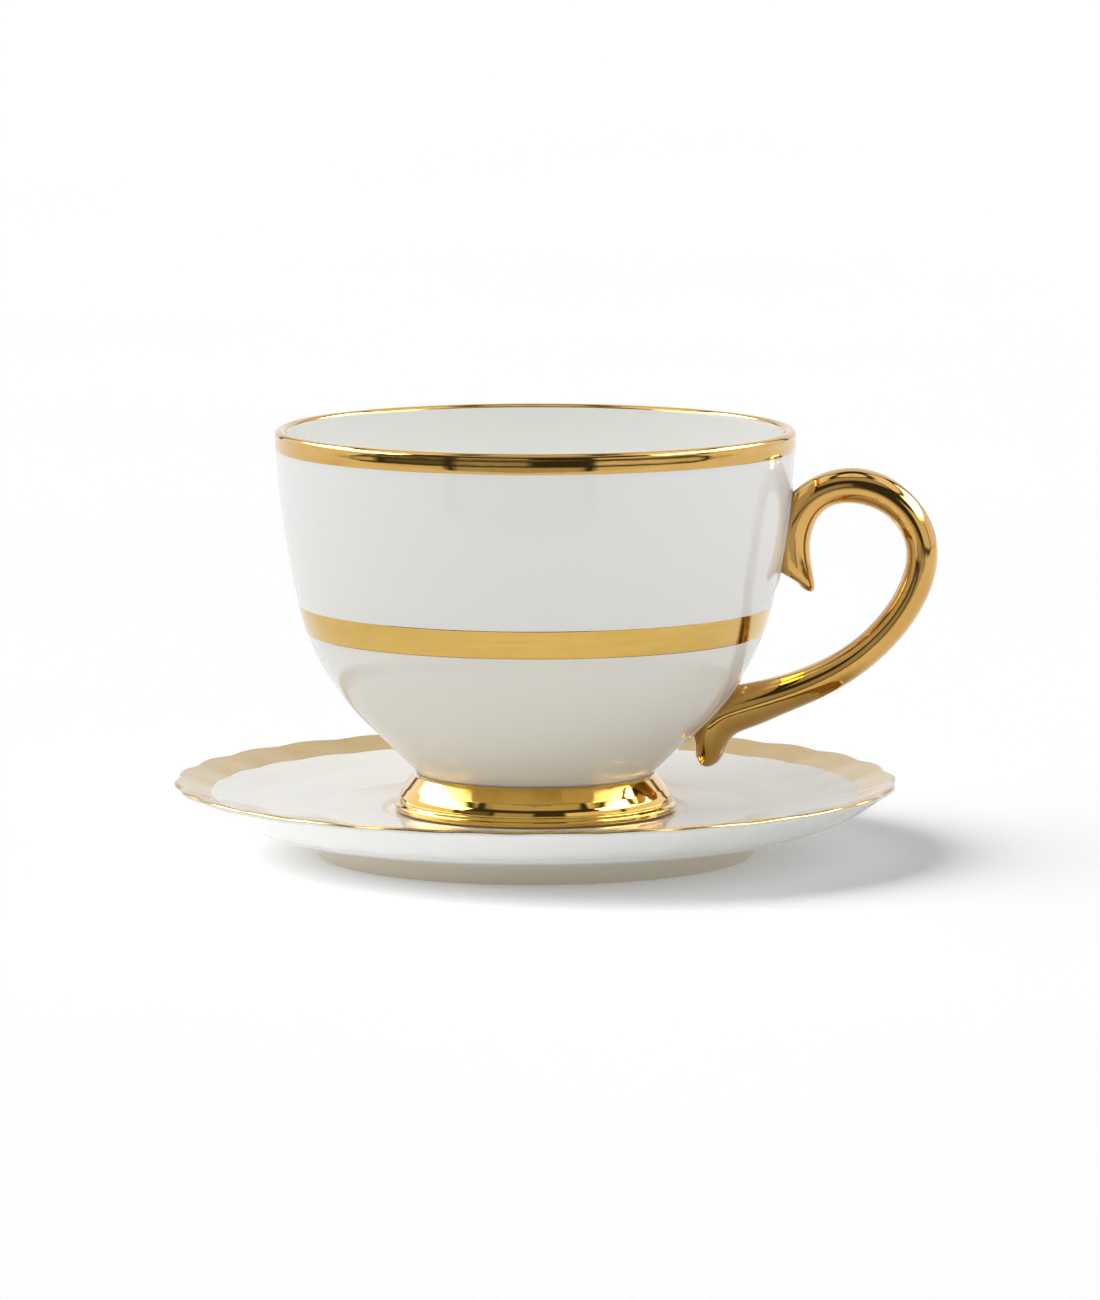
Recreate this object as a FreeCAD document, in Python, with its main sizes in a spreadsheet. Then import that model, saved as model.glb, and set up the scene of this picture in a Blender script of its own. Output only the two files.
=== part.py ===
"""A gilded porcelain teacup on its scalloped saucer, as a parametric FreeCAD document.

Millimetres, +Z up. The origin is on the cup's axis, in the plane that the saucer stands on; the
handle points along +X. The cup is made the way a potter makes it: a turned bowl, a pedestal foot
and a cast scroll handle, luted together with slip, then gilded. It stands loose in the saucer.
Cup outlines are drawn in the cup's own frame, with zero height at the underside of its foot.
"""

import FreeCAD, Part

import math
import os

import Sketcher

V = FreeCAD.Vector

START, END, CENTRE = 1, 2, 3
ORIGIN, H_AXIS, V_AXIS = -1, -1, -2

# ---------------------------------------------------------------- driving dimensions

SIZES = {
    # bowl: a sphere below and a long flank arc above, tangent to each other
    "belly_radius": 46.8,
    "belly_centre_z": 50.8,
    "flank_centre_out": 122.7,
    "flank_centre_z": 79.2,
    "wall": 2.1,
    "lip_centre_z": 72.65,
    "floor_z": 11.4,
    "floor_fillet": 16.0,
    "waist_radius": 22.9,
    "waist_z": 7.6,
    # slip between the clay pieces, and the thickness that stands for a gold film
    "slip": 0.3,
    "slip_margin": 0.7,
    "film": 0.12,
    # gold on the bowl
    "rim_gold_z": 69.9,
    "rim_gold_inside_z": 72.5,
    "band_low_z": 34.6,
    "band_high_z": 40.1,
    # pedestal foot: a flared wall, a shallow groove, a bead to stand on
    "foot_bore_top": 19.4,
    "foot_bore_base": 23.6,
    "foot_flare_radius": 11.0,
    "foot_groove_r": 26.35,
    "foot_groove_z": 1.95,
    "foot_base_r": 26.1,
    "foot_bead_radius": 1.02,
    # saucer, with zero height at the table
    "well_z": 8.4,
    "seat_gap": 0.05,
    "well_radius": 29.0,
    "well_step": 0.5,
    "well_step_run": 1.4,
    "verge_r": 42.0,
    "verge_radius": 60.0,
    "slope_start_r": 52.8,
    "slope_start_z": 10.2,
    "gold_start_r": 62.3,
    "gold_start_z": 12.3,
    "edge_r": 69.05,
    "edge_top_z": 14.3,
    "edge_under_z": 12.8,
    "edge_radius": 0.8,
    "under_radius": 46.0,
    "ring_top_r": 43.8,
    "ring_top_z": 4.05,
    "ring_base_out": 41.8,
    "ring_base_in": 39.8,
    "recess_r": 38.0,
    "recess_z": 4.4,
    # scalloped edge
    "scallops": 28,
    "notch_radius": 16.0,
    "notch_centre_r": 84.7,
}

# Handle sections from the tip of the upper spur, over the loop, to the heel: across x, height z,
# heading of the centreline in degrees, half thickness in the handle's plane, half width across it.
HANDLE_SECTIONS = [
    (52.0, 43.0, 66.0, 1.3, 1.6),
    (51.6, 44.0, 70.0, 2.2, 2.6),
    (50.0, 45.9, 78.0, 3.55, 3.6),
    (49.25, 49.4, 90.0, 3.6, 4.0),
    (49.25, 53.5, 84.0, 3.7, 4.2),
    (51.15, 58.4, 65.0, 3.6, 4.3),
    (55.4, 61.9, 34.0, 3.35, 4.2),
    (61.9, 62.9, -6.0, 3.45, 4.1),
    (69.4, 59.6, -45.0, 3.25, 4.0),
    (73.9, 52.2, -82.0, 3.1, 4.0),
    (73.0, 44.0, -113.0, 3.05, 4.0),
    (68.6, 36.4, -129.0, 3.05, 4.0),
    (62.2, 30.1, -140.0, 3.15, 4.1),
    (54.8, 25.6, -151.0, 3.35, 4.2),
    (46.8, 22.4, -157.0, 3.7, 4.4),
    (39.7, 20.1, -146.0, 4.5, 4.6),
    (34.5, 17.0, -128.0, 4.4, 4.5),
    (33.3, 11.6, -114.0, 2.9, 3.7),
    (32.7, 9.6, -112.0, 1.9, 2.6),
    (32.5, 8.8, -110.0, 1.0, 1.5),
]
SECTION_FIELDS = ("x", "z", "heading", "thick", "wide")

doc = FreeCAD.newDocument("teacup")
sheet = doc.addObject("Spreadsheet::Sheet", "dims")


def fill_sheet():
    """Every driving dimension in a cell of its own, with its name as the alias."""
    rows = dict(SIZES)
    for number, section in enumerate(HANDLE_SECTIONS, 1):
        for field, amount in zip(SECTION_FIELDS, section):
            rows[f"handle_{field}_{number}"] = amount
    for row, (alias, amount) in enumerate(rows.items(), 1):
        sheet.set(f"A{row}", alias)
        sheet.set(f"B{row}", str(amount))
        sheet.setAlias(f"B{row}", alias)
    doc.recompute()


def size(alias):
    return float(getattr(sheet, alias))


def total(spec):
    """The value of a sum of names such as 'belly_radius - wall'."""
    words = spec.replace("- ", "-").replace("+ ", "").split()
    return sum(-size(w[1:]) if w.startswith("-") else size(w) for w in words)


def formula(spec):
    """The same sum as an expression on the sheet."""
    return " ".join(w if w in "+-" else "dims." + w for w in spec.split())


# ---------------------------------------------------------------- sketching


class Outline:
    """A closed outline in a body's XZ plane: across is the radius, up is the height."""

    def __init__(self, body, name, role="XZ_Plane"):
        self.sketch = body.newObject("Sketcher::SketchObject", name)
        plane = next(f for f in body.Origin.OriginFeatures if f.Role == role)
        self.sketch.AttachmentSupport = [(plane, "")]
        self.sketch.MapMode = "FlatFace"

    def line(self, start, end):
        edge = Part.LineSegment(V(*start, 0), V(*end, 0))
        return self.sketch.addGeometry(edge, False)

    def arc(self, centre, start, end):
        """The arc about centre that runs anticlockwise from start to end."""
        radius = math.dist(centre, start)
        angles = [math.atan2(p[1] - centre[1], p[0] - centre[0]) for p in (start, end)]
        circle = Part.Circle(V(*centre, 0), V(0, 0, 1), radius)
        return self.sketch.addGeometry(Part.ArcOfCircle(circle, *angles), False)

    def add(self, *constraint):
        return self.sketch.addConstraint(Sketcher.Constraint(*constraint))

    def bind(self, index, spec):
        self.sketch.setExpression(f"Constraints[{index}]", formula(spec))

    def join(self, first, first_end, second, second_end, smooth=False):
        self.add("Tangent" if smooth else "Coincident", first, first_end, second, second_end)

    def across(self, edge, point, spec):
        self.bind(self.add("DistanceX", ORIGIN, START, edge, point, total(spec)), spec)

    def up(self, edge, point, spec):
        self.bind(self.add("DistanceY", ORIGIN, START, edge, point, total(spec)), spec)

    def place(self, edge, point, across, up):
        self.across(edge, point, across)
        self.up(edge, point, up)

    def on_axis(self, edge, point):
        self.add("PointOnObject", edge, point, V_AXIS)

    def on_base(self, edge, point):
        self.add("PointOnObject", edge, point, H_AXIS)

    def radius(self, edge, spec):
        self.bind(self.add("Radius", edge, total(spec)), spec)

    def same_centre(self, edge, other):
        self.add("Coincident", edge, CENTRE, other, CENTRE)


def new_body(label, height=None):
    """A body whose frame stands at a height that is a sum of names."""
    body = doc.addObject("PartDesign::Body", label)
    body.Label = label
    if height:
        body.setExpression("Placement.Base.z", formula(height))
    return body


def revolve(body, outline):
    turned = body.newObject("PartDesign::Revolution", body.Label + "_turned")
    turned.Profile = outline.sketch
    turned.ReferenceAxis = (outline.sketch, ["V_Axis"])
    turned.Angle = 360.0
    outline.sketch.Visibility = False
    return turned


def corner_outline(outline, corners, arcs=()):
    """Joins corners given as pairs of sums with lines, and with arcs of a stated radius where
    arcs maps a corner's number to (radius, side); side is 1 where the arc bulges to the right of
    the way the outline is drawn, and the corners run anticlockwise."""
    arcs = dict(arcs)
    points = [tuple(total(spec) if spec else 0.0 for spec in corner) for corner in corners]
    edges = []
    for i, start in enumerate(points):
        end = points[(i + 1) % len(points)]
        if i in arcs:
            spec, side = arcs[i]
            edges.append(bulged_arc(outline, start, end, total(spec), side))
            outline.radius(edges[-1][0], spec)
        else:
            edges.append((outline.line(start, end), START, END))
    for i, (edge, first, _) in enumerate(edges):
        before, _, last = edges[i - 1]
        outline.join(before, last, edge, first)
        across, up = corners[i]
        if across:
            outline.across(edge, first, across)
        else:
            outline.on_axis(edge, first)
        if up:
            outline.up(edge, first, up)
        else:
            outline.on_base(edge, first)


def bulged_arc(outline, start, end, radius, side):
    """An arc of that radius from start to end, with its two ends in the order they are met."""
    middle = [(a + b) / 2 for a, b in zip(start, end)]
    half = math.dist(start, end) / 2
    back = math.sqrt(radius**2 - half**2)
    along = [(b - a) / (2 * half) for a, b in zip(start, end)]
    centre = (middle[0] - side * along[1] * back, middle[1] + side * along[0] * back)
    if side > 0:
        return outline.arc(centre, start, end), START, END
    return outline.arc(centre, end, start), END, START


# ---------------------------------------------------------------- bowl geometry


def bowl_points(offset=0.0):
    """Centres and corners of the bowl's outer side, grown outwards by offset."""
    belly = (0.0, size("belly_centre_z"))
    flank = (-size("flank_centre_out"), size("flank_centre_z"))
    apart = math.dist(belly, flank)
    belly_radius = size("belly_radius") + offset
    flank_radius = apart + belly_radius
    shoulder = tuple(b + (b - f) / apart * belly_radius for b, f in zip(belly, flank))
    waist = (size("waist_radius") + offset, size("waist_z"))
    reach = math.dist(belly, waist)
    turn = math.acos(belly_radius / reach)
    heading = math.atan2(waist[1] - belly[1], waist[0] - belly[0]) + turn
    hip = (belly_radius * math.cos(heading), belly[1] + belly_radius * math.sin(heading))
    return belly, flank, flank_radius, shoulder, hip, waist


def on_circle(centre, radius, height):
    """The point of a circle at a height, on the side away from the axis."""
    return centre[0] + math.sqrt(radius**2 - (height - centre[1]) ** 2), height


def on_flank(inset, angle=None):
    """A point of the flank circle shrunk by inset, level with the lip's centre."""
    _, flank, flank_radius, *_ = bowl_points()
    radius = flank_radius - inset
    if angle is None:
        return on_circle(flank, flank_radius - size("wall") / 2, size("lip_centre_z"))
    return flank[0] + radius * math.cos(angle), flank[1] + radius * math.sin(angle)


def lip_angle():
    """Direction of the lip's centre, seen from the centre of the flank arc."""
    _, flank, *_ = bowl_points()
    centre = on_flank(0)
    return math.atan2(centre[1] - flank[1], centre[0] - flank[0])


def pin_bowl_centres(outline, belly_arc, flank_arc, belly_spec):
    """Puts the belly sphere on the axis, the flank's centre beyond it, and sizes the sphere."""
    outline.on_axis(belly_arc, CENTRE)
    outline.up(belly_arc, CENTRE, "belly_centre_z")
    outline.radius(belly_arc, belly_spec)
    index = outline.add("DistanceX", flank_arc, CENTRE, ORIGIN, START, size("flank_centre_out"))
    outline.bind(index, "flank_centre_out")
    outline.up(flank_arc, CENTRE, "flank_centre_z")


def make_bowl():
    """The thrown bowl: sphere and flank outside, the same less the wall inside, a round lip."""
    belly, flank, _, shoulder, hip, waist = bowl_points()
    wall, floor = size("wall"), size("floor_z")
    inner_shoulder = bowl_points(-wall)[3]
    tilt = lip_angle()
    lip, outer_lip, inner_lip = on_flank(0), on_flank(0, tilt), on_flank(wall, tilt)
    fillet = size("floor_fillet")
    drop = belly[1] - (floor + fillet)
    reach = size("belly_radius") - wall - fillet
    fillet_centre = (math.sqrt(reach**2 - drop**2), floor + fillet)
    scale = (reach + fillet) / reach
    fillet_end = (fillet_centre[0] * scale, belly[1] - drop * scale)

    body = new_body("cup_bowl", "well_z + seat_gap")
    outline = Outline(body, "bowl_outline")
    base = outline.line((0, waist[1]), waist)
    cone = outline.line(waist, hip)
    outer_belly = outline.arc(belly, hip, shoulder)
    outer_flank = outline.arc(flank, shoulder, outer_lip)
    lip_arc = outline.arc(lip, outer_lip, inner_lip)
    inner_flank = outline.arc(flank, inner_shoulder, inner_lip)
    inner_belly = outline.arc(belly, fillet_end, inner_shoulder)
    fillet_arc = outline.arc(fillet_centre, (fillet_centre[0], floor), fillet_end)
    floor_line = outline.line((fillet_centre[0], floor), (0, floor))
    axis = outline.line((0, floor), (0, waist[1]))

    outline.join(base, END, cone, START)
    outline.join(cone, END, outer_belly, START, smooth=True)
    outline.join(outer_belly, END, outer_flank, START, smooth=True)
    outline.join(outer_flank, END, lip_arc, START, smooth=True)
    outline.join(lip_arc, END, inner_flank, END, smooth=True)
    outline.join(inner_flank, START, inner_belly, END, smooth=True)
    outline.join(inner_belly, START, fillet_arc, END, smooth=True)
    outline.join(fillet_arc, START, floor_line, START, smooth=True)
    outline.join(floor_line, END, axis, START)
    outline.join(axis, END, base, START)

    pin_bowl_centres(outline, outer_belly, outer_flank, "belly_radius")
    outline.same_centre(inner_flank, outer_flank)
    outline.same_centre(inner_belly, outer_belly)
    outline.radius(inner_belly, "belly_radius - wall")
    outline.radius(fillet_arc, "floor_fillet")
    outline.up(lip_arc, CENTRE, "lip_centre_z")
    outline.place(cone, START, "waist_radius", "waist_z")
    outline.on_axis(axis, START)
    outline.up(axis, START, "floor_z")
    outline.on_axis(axis, END)
    outline.up(axis, END, "waist_z")
    revolve(body, outline)
    return body


def make_outside(label, growth=None):
    """The bowl's outer shape as a plug with no hollow, grown by a named thickness."""
    offset = size(growth) if growth else 0.0
    belly, flank, flank_radius, shoulder, hip, waist = bowl_points(offset)
    top = on_circle(flank, flank_radius, size("lip_centre_z"))
    body = new_body(label, "well_z + seat_gap")
    outline = Outline(body, label + "_outline")
    base = outline.line((0, waist[1]), waist)
    cone = outline.line(waist, hip)
    belly_arc = outline.arc(belly, hip, shoulder)
    flank_arc = outline.arc(flank, shoulder, top)
    lid = outline.line(top, (0, top[1]))
    axis = outline.line((0, top[1]), (0, waist[1]))
    outline.join(base, END, cone, START)
    outline.join(cone, END, belly_arc, START, smooth=True)
    outline.join(belly_arc, END, flank_arc, START, smooth=True)
    outline.join(flank_arc, END, lid, START)
    outline.join(lid, END, axis, START)
    outline.join(axis, END, base, START)
    grown = " + " + growth if growth else ""
    pin_bowl_centres(outline, belly_arc, flank_arc, "belly_radius" + grown)
    outline.place(cone, START, "waist_radius" + grown, "waist_z")
    outline.up(lid, START, "lip_centre_z")
    outline.on_axis(axis, START)
    outline.up(axis, START, "lip_centre_z")
    outline.on_axis(axis, END)
    outline.up(axis, END, "waist_z")
    revolve(body, outline)
    return body


# ---------------------------------------------------------------- gold on the bowl


def make_rim_gilding():
    """Gold over the lip: down the outside to one height and a little way down the inside."""
    _, flank, flank_radius, *_ = bowl_points()
    wall, film, tilt = size("wall"), size("film"), lip_angle()
    low, low_inside = size("rim_gold_z"), size("rim_gold_inside_z")
    lip = on_flank(0)

    def corners(outer, inner):
        """Ends of the two flank arcs of those insets, outside and inside."""
        return (
            on_circle(flank, flank_radius - outer, low),
            on_flank(outer, tilt),
            on_flank(inner, tilt),
            on_circle(flank, flank_radius - inner, low_inside),
        )

    gold_low, gold_out, gold_in, gold_end = corners(-film, wall + film)
    clay_low, clay_out, clay_in, clay_end = corners(0.0, wall)
    body = new_body("rim_gilding", "well_z + seat_gap")
    outline = Outline(body, "rim_gilding_outline")
    foot = outline.line(clay_low, gold_low)
    gold_flank = outline.arc(flank, gold_low, gold_out)
    gold_lip = outline.arc(lip, gold_out, gold_in)
    gold_inside = outline.arc(flank, gold_end, gold_in)
    hem = outline.line(gold_end, clay_end)
    clay_inside = outline.arc(flank, clay_end, clay_in)
    clay_lip = outline.arc(lip, clay_out, clay_in)
    clay_flank = outline.arc(flank, clay_low, clay_out)

    outline.join(foot, END, gold_flank, START)
    outline.join(gold_flank, END, gold_lip, START, smooth=True)
    outline.join(gold_lip, END, gold_inside, END, smooth=True)
    outline.join(gold_inside, START, hem, START)
    outline.join(hem, END, clay_inside, START)
    outline.join(clay_inside, END, clay_lip, END, smooth=True)
    outline.join(clay_lip, START, clay_flank, END, smooth=True)
    outline.join(clay_flank, START, foot, START)

    index = outline.add("DistanceX", gold_flank, CENTRE, ORIGIN, START, size("flank_centre_out"))
    outline.bind(index, "flank_centre_out")
    outline.up(gold_flank, CENTRE, "flank_centre_z")
    for arc in (gold_inside, clay_inside, clay_flank):
        outline.same_centre(arc, gold_flank)
    outline.same_centre(clay_lip, gold_lip)
    outline.up(clay_lip, CENTRE, "lip_centre_z")
    outline.up(foot, START, "rim_gold_z")
    outline.up(foot, END, "rim_gold_z")
    outline.up(hem, START, "rim_gold_inside_z")
    outline.up(hem, END, "rim_gold_inside_z")
    index = outline.add("Radius", clay_flank, flank_radius)
    reach = "sqrt(dims.flank_centre_out ^ 2 + (dims.flank_centre_z - dims.belly_centre_z) ^ 2)"
    outline.sketch.setExpression(f"Constraints[{index}]", reach + " + dims.belly_radius")
    index = outline.add("Radius", clay_lip, wall / 2)
    outline.sketch.setExpression(f"Constraints[{index}]", "dims.wall / 2")
    index = outline.add("Radius", gold_lip, wall / 2 + film)
    outline.sketch.setExpression(f"Constraints[{index}]", "dims.wall / 2 + dims.film")
    revolve(body, outline)
    return body


def make_band_gilding():
    """The gold belt, a film between two heights on the belly sphere."""
    belly, radius, film = (0.0, size("belly_centre_z")), size("belly_radius"), size("film")
    low, high = size("band_low_z"), size("band_high_z")
    clay_low, clay_high = (on_circle(belly, radius, z) for z in (low, high))
    gold_low, gold_high = (on_circle(belly, radius + film, z) for z in (low, high))
    body = new_body("body_band_gilding", "well_z + seat_gap")
    outline = Outline(body, "body_band_gilding_outline")
    bottom = outline.line(clay_low, gold_low)
    gold = outline.arc(belly, gold_low, gold_high)
    top = outline.line(gold_high, clay_high)
    clay = outline.arc(belly, clay_low, clay_high)
    outline.join(bottom, END, gold, START)
    outline.join(gold, END, top, START)
    outline.join(top, END, clay, END)
    outline.join(clay, START, bottom, START)
    outline.on_axis(gold, CENTRE)
    outline.up(gold, CENTRE, "belly_centre_z")
    outline.same_centre(clay, gold)
    outline.radius(gold, "belly_radius + film")
    outline.radius(clay, "belly_radius")
    for edge in (bottom, top):
        spec = "band_low_z" if edge == bottom else "band_high_z"
        outline.up(edge, START, spec)
        outline.up(edge, END, spec)
    revolve(body, outline)
    return body


# ---------------------------------------------------------------- pedestal foot


def make_turned(label, corners, arcs=(), height=None):
    """A turned piece whose outline is a run of corners."""
    body = new_body(label, height)
    outline = Outline(body, label + "_outline")
    corner_outline(outline, corners, arcs)
    revolve(body, outline)
    return body


def make_foot_pieces():
    """The flared foot, the slip that holds it to the bowl, and the gold on its outside."""
    standing = "well_z + seat_gap"
    foot = make_turned(
        "cup_foot",
        [
            ("foot_bore_base", None),
            ("foot_base_r", None),
            ("foot_groove_r", "foot_groove_z"),
            ("waist_radius", "waist_z - slip"),
            ("foot_bore_top", "waist_z - slip"),
        ],
        {1: ("foot_bead_radius", 1), 2: ("foot_flare_radius", 1)},
        standing,
    )
    joint = make_turned(
        "foot_joint",
        [
            ("foot_bore_top", "waist_z - slip"),
            ("waist_radius", "waist_z - slip"),
            ("waist_radius", "waist_z"),
            ("foot_bore_top", "waist_z"),
        ],
        height=standing,
    )
    gold = make_turned(
        "foot_gilding",
        [
            ("foot_base_r", None),
            ("foot_base_r + film", None),
            ("foot_groove_r + film", "foot_groove_z"),
            ("waist_radius + film", "waist_z - slip"),
            ("waist_radius", "waist_z - slip"),
            ("foot_groove_r", "foot_groove_z"),
        ],
        {
            1: ("foot_bead_radius", 1),
            2: ("foot_flare_radius", 1),
            4: ("foot_flare_radius", -1),
            5: ("foot_bead_radius", -1),
        },
        standing,
    )
    return foot, joint, gold


# ---------------------------------------------------------------- handle


def section_formula(field, position):
    """A section's value: the sheet's own at a whole position, and halfway between two of them
    the value of a smooth curve through the four around it."""
    last = len(HANDLE_SECTIONS)
    before = int(position)
    if position == before:
        return f"dims.handle_{field}_{before}"
    names = [f"dims.handle_{field}_{min(max(before + step, 1), last)}" for step in (-1, 0, 1, 2)]
    return f"((9 * ({names[1]} + {names[2]}) - {names[0]} - {names[3]}) / 16)"


def make_handle_loft(label, growth="", inset=False):
    """The scroll as a loft through ellipses, each one grown by a named thickness. Inset draws
    the two end sections back along the scroll by the film, so that gold can cover the tips."""
    sections = []
    last = len(HANDLE_SECTIONS)
    for half_steps in range(2, 2 * last + 1):
        position = half_steps / 2
        x, z, heading, thick, wide = (section_formula(f, position) for f in SECTION_FIELDS)
        push = {1: "+", last: "-"}.get(position) if inset else None
        if push:
            x = f"{x} {push} dims.film * cos({heading})"
            z = f"{z} {push} dims.film * sin({heading})"
        centre = f"vector({x}; 0; {z} + dims.well_z + dims.seat_gap)"
        turn = f"rotation(vector(0; 1; 0); 90 - {heading}) * rotation(vector(0; 0; 1); 90)"
        ring = doc.addObject("Part::Ellipse", f"{label}_section_{half_steps}")
        ring.setExpression("MajorRadius", wide + growth)
        ring.setExpression("MinorRadius", thick + growth)
        ring.setExpression("Placement", f"placement({centre}; {turn})")
        ring.Visibility = False
        sections.append(ring)
    loft = doc.addObject("Part::Loft", label)
    loft.Sections = sections
    loft.Solid = True
    loft.Ruled = False
    loft.Closed = False
    return loft


def boolean(kind, label, base, tool):
    """A Part::Cut or Part::Common of two shapes."""
    result = doc.addObject("Part::" + kind, label)
    result.Label = label
    result.Base = base
    result.Tool = tool
    return result


def zone(label, low, high):
    """A block over the handle's side of the cup, between two heights."""
    block = doc.addObject("Part::Box", label)
    block.setExpression("Length", "2 * dims.belly_radius")
    block.setExpression("Width", "dims.belly_radius")
    block.setExpression("Height", f"{formula(high)} - ({formula(low)})")
    block.setExpression("Placement.Base.y", "-dims.belly_radius / 2")
    block.setExpression("Placement.Base.z", f"{formula(low)} + dims.well_z")
    return block


def make_handle_pieces():
    """Core, gold skin and the two pads of slip between the handle and the bowl's wall."""
    plug = make_outside("bowl_outside")
    slip_plug = make_outside("bowl_outside_with_slip", "slip")
    slip_shell = boolean("Cut", "slip_shell", slip_plug, plug)
    full = make_handle_loft("handle_full")
    inner = make_handle_loft("handle_inner", " - dims.film", inset=True)
    wide = make_handle_loft("handle_wide", " + dims.slip_margin")
    skin = boolean("Cut", "handle_skin", full, inner)
    spread = boolean("Common", "slip_spread", slip_shell, wide)
    core = boolean("Cut", "handle_core", inner, slip_plug)
    gold = boolean("Cut", "handle_gilding", skin, slip_plug)
    upper_zone = zone("upper_zone", "band_high_z", "lip_centre_z")
    lower_zone = zone("lower_zone", "foot_groove_z", "band_low_z")
    upper = boolean("Common", "upper_handle_joint", spread, upper_zone)
    lower = boolean("Common", "lower_handle_joint", spread, lower_zone)
    return core, gold, upper, lower


# ---------------------------------------------------------------- saucer


def scallop(body, name, cutter_spec):
    """Cuts one notch in the rim and repeats it round the edge."""
    outline = Outline(body, name + "_notch_outline", "XY_Plane")
    circle = Part.Circle(V(size("notch_centre_r"), 0, 0), V(0, 0, 1), total(cutter_spec))
    edge = outline.sketch.addGeometry(circle, False)
    outline.add("PointOnObject", edge, CENTRE, H_AXIS)
    outline.across(edge, CENTRE, "notch_centre_r")
    outline.radius(edge, cutter_spec)
    pocket = body.newObject("PartDesign::Pocket", name + "_notch")
    pocket.Profile = outline.sketch
    pocket.Type = 1
    pocket.Reversed = True
    outline.sketch.Visibility = False
    doc.recompute()
    pattern = body.newObject("PartDesign::PolarPattern", name + "_scallops")
    pattern.Originals = [pocket]
    pattern.Axis = (outline.sketch, ["N_Axis"])
    pattern.Angle = 360.0
    pattern.setExpression("Occurrences", "dims.scallops")
    body.Tip = pattern
    doc.recompute()
    return pattern


def make_saucer_pieces():
    """The saucer with its well, verge, scalloped edge and foot ring, and the gold on its rim."""
    dish = make_turned(
        "saucer_dish",
        [
            (None, "recess_z"),
            ("recess_r", "recess_z"),
            ("ring_base_in", None),
            ("ring_base_out", None),
            ("ring_top_r", "ring_top_z"),
            ("edge_r", "edge_under_z"),
            ("edge_r", "edge_top_z"),
            ("gold_start_r", "gold_start_z"),
            ("slope_start_r", "slope_start_z"),
            ("verge_r", "well_z + well_step"),
            ("well_radius + well_step_run", "well_z + well_step"),
            ("well_radius", "well_z"),
            (None, "well_z"),
        ],
        {4: ("under_radius", 1), 5: ("edge_radius", 1), 8: ("verge_radius", 1)},
    )
    doc.recompute()
    blank_volume = dish.Shape.Volume
    scallop(dish, "dish", "notch_radius")
    assert dish.Shape.Volume < blank_volume, "the notches cut nothing from the saucer"

    blank = make_turned(
        "rim_gold_blank",
        [
            ("edge_r", "edge_under_z - film"),
            ("edge_r", "edge_top_z + film"),
            ("gold_start_r", "gold_start_z + film"),
            ("gold_start_r", "gold_start_z - well_step"),
            ("edge_r - well_step_run", "edge_under_z"),
        ],
        {0: ("edge_radius + film", 1)},
    )
    doc.recompute()
    scallop(blank, "gold", "notch_radius - film")
    gold = boolean("Cut", "saucer_rim_gilding", blank, dish)
    return dish, gold


# ---------------------------------------------------------------- build, check, write


def check(parts):
    """Stops where an object failed or a sub-part has no sound shape."""
    failed = [o.Name for o in doc.Objects if {"Invalid", "Error"} & set(o.State)]
    assert not failed, f"failed objects: {failed}"
    for part in parts:
        shape = part.Shape
        assert not shape.isNull() and shape.isValid(), f"{part.Label} has no valid shape"
        assert len(shape.Solids) == 1, f"{part.Label} has {len(shape.Solids)} solids"
        box = shape.BoundBox
        print(f"{part.Label:22s} volume {shape.Volume:10.2f}  "
              f"x {box.XMin:7.2f} {box.XMax:7.2f}  y {box.YMin:7.2f} {box.YMax:7.2f}  "
              f"z {box.ZMin:7.2f} {box.ZMax:7.2f}")


fill_sheet()
parts = [make_bowl(), make_rim_gilding(), make_band_gilding()]
parts += make_foot_pieces()
parts += make_handle_pieces()
parts += make_saucer_pieces()
doc.recompute()
check(parts)

os.makedirs("parts", exist_ok=True)
for part in parts:
    part.Shape.exportStep(f"parts/{part.Label}.step")
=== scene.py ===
import math

import bmesh
import bpy
import numpy as np
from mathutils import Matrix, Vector


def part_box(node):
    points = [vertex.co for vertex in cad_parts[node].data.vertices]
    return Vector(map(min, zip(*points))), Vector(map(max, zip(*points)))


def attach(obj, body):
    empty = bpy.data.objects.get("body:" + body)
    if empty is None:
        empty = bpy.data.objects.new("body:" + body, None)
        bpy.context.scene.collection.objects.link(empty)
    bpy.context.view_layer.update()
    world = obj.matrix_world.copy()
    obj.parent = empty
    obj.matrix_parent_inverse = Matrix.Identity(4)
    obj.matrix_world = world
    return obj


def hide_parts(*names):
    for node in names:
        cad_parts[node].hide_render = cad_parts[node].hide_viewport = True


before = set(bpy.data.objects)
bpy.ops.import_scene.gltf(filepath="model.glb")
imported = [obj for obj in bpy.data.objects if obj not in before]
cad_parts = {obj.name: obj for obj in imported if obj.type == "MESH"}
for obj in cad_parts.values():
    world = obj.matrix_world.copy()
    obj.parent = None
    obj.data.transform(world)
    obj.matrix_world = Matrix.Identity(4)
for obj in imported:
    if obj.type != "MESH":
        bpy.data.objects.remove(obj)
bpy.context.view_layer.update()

# A gilded porcelain teacup on its scalloped saucer. The frame is the CAD's: the origin is on the
# cup's axis where the saucer meets the table, +Z is up and the handle points along +X. Lengths in
# this script are millimetres until a mesh is made. Cup profiles are drawn from the underside of
# the cup's foot, which stands CUP_BASE above the table.

MM = 0.001
TURN = 2 * math.pi
CUP_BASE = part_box("cup_foot")[0].z / MM

scene = bpy.context.scene

# ---------------------------------------------------------------- camera

VIEW_AZIMUTH = math.radians(3.0)
VIEW_DISTANCE = 1541.0
VIEW_HEIGHT = 235.6
AIM_HEIGHT = 39.3
AIM_RIGHT = 2.8
SENSOR_WIDTH = 36.0
LENS = 223.7


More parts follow.
